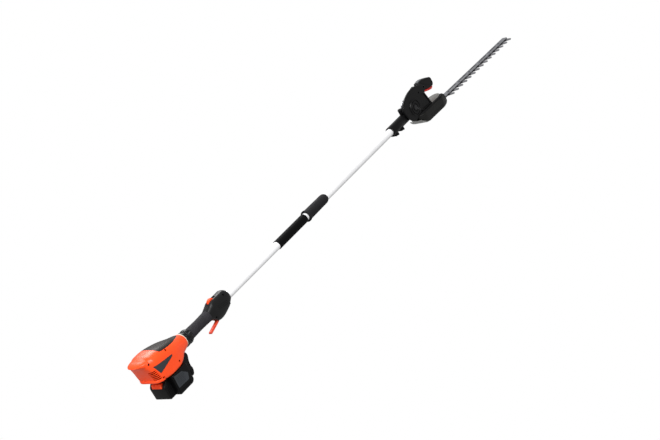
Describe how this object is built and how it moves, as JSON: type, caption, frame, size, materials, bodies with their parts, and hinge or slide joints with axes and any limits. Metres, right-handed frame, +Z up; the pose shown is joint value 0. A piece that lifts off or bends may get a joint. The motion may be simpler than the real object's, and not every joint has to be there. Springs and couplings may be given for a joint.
{
  "type": "pole hedge trimmer",
  "caption": "Long battery pole hedge trimmer: rear motor housing with a slide-out battery, trigger grip, pole with front grip, folding notched head and a reciprocating toothed cutter.",
  "frame": {"origin": "centre of the battery's flat underside", "axes": "+X forward along the pole towards the cutter, +Z up, +Y to the user's left"},
  "size_m": [2.3424, 0.0968, 0.1654],
  "materials": {
    "orange_plastic": "moulded, satin gloss",
    "red_plastic": "moulded, satin gloss",
    "black_plastic": "fine moulded grain",
    "charcoal_plastic": "fine moulded grain",
    "grip_rubber": "matt, ribbed",
    "foam_rubber": "matt",
    "pole_white": "smooth white coat",
    "blade_steel": "ground",
    "zinc_steel": "plated",
    "dark_steel": "black finish",
    "gear_steel": "machined",
    "cast_alloy": "cast, blasted",
    "laminations": "stacked sheet",
    "copper_alloy": "stamped",
    "board_green": "coated board",
    "bush_plastic": "natural nylon"
  },
  "bodies": {
    "frame": {"housing_left": "orange_plastic", "housing_right": "orange_plastic", "housing_screws": "dark_steel", "top_cover": "black_plastic", "label_plate": "charcoal_plastic", "motor_stator": "laminations", "motor_bearings": "zinc_steel", "shaft_bushes": "bush_plastic", "controller_board": "board_green", "terminal_block": "copper_alloy", "battery_guard": "black_plastic", "collar": "black_plastic", "rubber_grip": "grip_rubber", "switch_housing_left": "black_plastic", "switch_housing_right": "black_plastic", "handle_screws": "dark_steel", "handle_pins": "zinc_steel", "power_switch": "black_plastic", "pole_tube": "pole_white", "pole_sleeve": "black_plastic", "front_grip": "foam_rubber", "clamp_bracket": "black_plastic", "clamp_bolts": "dark_steel", "index_plate": "zinc_steel", "pivot_bolt": "dark_steel"},
    "rotor": {"motor_rotor": "gear_steel", "cooling_fan": "charcoal_plastic", "shaft_coupling": "gear_steel", "drive_shaft": "gear_steel", "offset_gear": "gear_steel"},
    "battery": {"battery_case": "black_plastic", "battery_panels": "charcoal_plastic"},
    "latch": {"battery_latch": "orange_plastic"},
    "trigger_lever": {"trigger": "red_plastic"},
    "lock_lever": {"lock_off_lever": "orange_plastic"},
    "knob": {"locking_knob": "black_plastic"},
    "pinion": {"drive_pinion": "gear_steel"},
    "idler": {"idler_gear": "gear_steel"},
    "head": {"head_shell_left": "black_plastic", "head_shell_right": "black_plastic", "head_screws": "dark_steel", "adjusting_handle": "black_plastic", "handle_plate": "zinc_steel", "lever_pin_rod": "zinc_steel", "gear_case_upper": "black_plastic", "gear_case_lower": "black_plastic", "gear_case_cap": "cast_alloy", "skid_plate": "cast_alloy", "guide_bar": "blade_steel", "blade_bolts": "dark_steel"},
    "lever": {"release_lever": "red_plastic"},
    "pawl": {"index_pawl": "zinc_steel"},
    "head_drive": {"head_shaft": "gear_steel"},
    "crank": {"crank_gear": "gear_steel"},
    "blade_upper": {"upper_blade": "blade_steel"},
    "blade_lower": {"lower_blade": "blade_steel"}
  },
  "joints": [
    {"name": "motor_spin", "type": "hinge", "parent": "frame", "child": "rotor", "pos_m": [0, 0, 0.092], "axis": [1, 0, 0], "continuous": true},
    {"name": "battery_slide", "type": "slide", "parent": "frame", "child": "battery", "axis": [-1, 0, 0], "range_m": [0, 0.11]},
    {"name": "battery_latch_press", "type": "slide", "parent": "battery", "child": "latch", "axis": [1, 0, 0], "range_m": [0, 0.003], "stiffness_N_per_m": 800, "springref_m": -0.002},
    {"name": "trigger_pull", "type": "hinge", "parent": "frame", "child": "trigger_lever", "pos_m": [0.268, 0, 0.067], "axis": [0, 1, 0], "range_deg": [0, 10], "stiffness_Nm_per_rad": 0.6, "springref_deg": -8.59},
    {"name": "lock_off_press", "type": "hinge", "parent": "frame", "child": "lock_lever", "pos_m": [0.268, 0, 0.111], "axis": [0, -1, 0], "range_deg": [0, 8], "stiffness_Nm_per_rad": 0.3, "springref_deg": -8.59},
    {"name": "knob_turn", "type": "hinge", "parent": "frame", "child": "knob", "pos_m": [1.431, 0, 0.092], "axis": [0, 0, 1], "continuous": true},
    {"name": "offset_spin", "type": "hinge", "parent": "frame", "child": "pinion", "pos_m": [1.487, 0, 0.104], "axis": [1, 0, 0], "continuous": true},
    {"name": "idler_spin", "type": "hinge", "parent": "frame", "child": "idler", "pos_m": [1.487, 0, 0.104], "axis": [0, 1, 0], "continuous": true},
    {"name": "head_fold", "type": "hinge", "parent": "frame", "child": "head", "pos_m": [1.487, 0, 0.104], "axis": [0, 1, 0], "range_deg": [-90, 45]},
    {"name": "release_squeeze", "type": "hinge", "parent": "head", "child": "lever", "pos_m": [1.57849, 0, 0.12277], "axis": [0, -1, 0], "range_deg": [0, 5], "stiffness_Nm_per_rad": 0.8, "springref_deg": -8.59},
    {"name": "pawl_lift", "type": "slide", "parent": "head", "child": "pawl", "axis": [0.972, 0, 0.2351], "range_m": [0, 0.004]},
    {"name": "head_shaft_spin", "type": "hinge", "parent": "head", "child": "head_drive", "pos_m": [1.487, 0, 0.104], "axis": [0.9997, 0, -0.0244], "continuous": true},
    {"name": "crank_spin", "type": "hinge", "parent": "head", "child": "crank", "pos_m": [1.56298, 0, 0.10214], "axis": [0.0244, 0, 0.9997], "continuous": true},
    {"name": "upper_blade_stroke", "type": "slide", "parent": "head", "child": "blade_upper", "axis": [0.9997, 0, -0.0244], "range_m": [-0.008, 0.008]},
    {"name": "lower_blade_stroke", "type": "slide", "parent": "head", "child": "blade_lower", "axis": [0.9997, 0, -0.0244], "range_m": [-0.008, 0.008]}
  ],
  "couplings": [
    {"joint": "offset_spin", "follows": "motor_spin", "ratio": -1},
    {"joint": "idler_spin", "follows": "motor_spin", "ratio": 1},
    {"joint": "head_shaft_spin", "follows": "motor_spin", "ratio": 1},
    {"joint": "crank_spin", "follows": "motor_spin", "ratio": -0.47059},
    {"joint": "pawl_lift", "follows": "release_squeeze", "m_per_rad": 0.045837},
    {"joint": "lower_blade_stroke", "follows": "upper_blade_stroke", "ratio": -1}
  ]
}
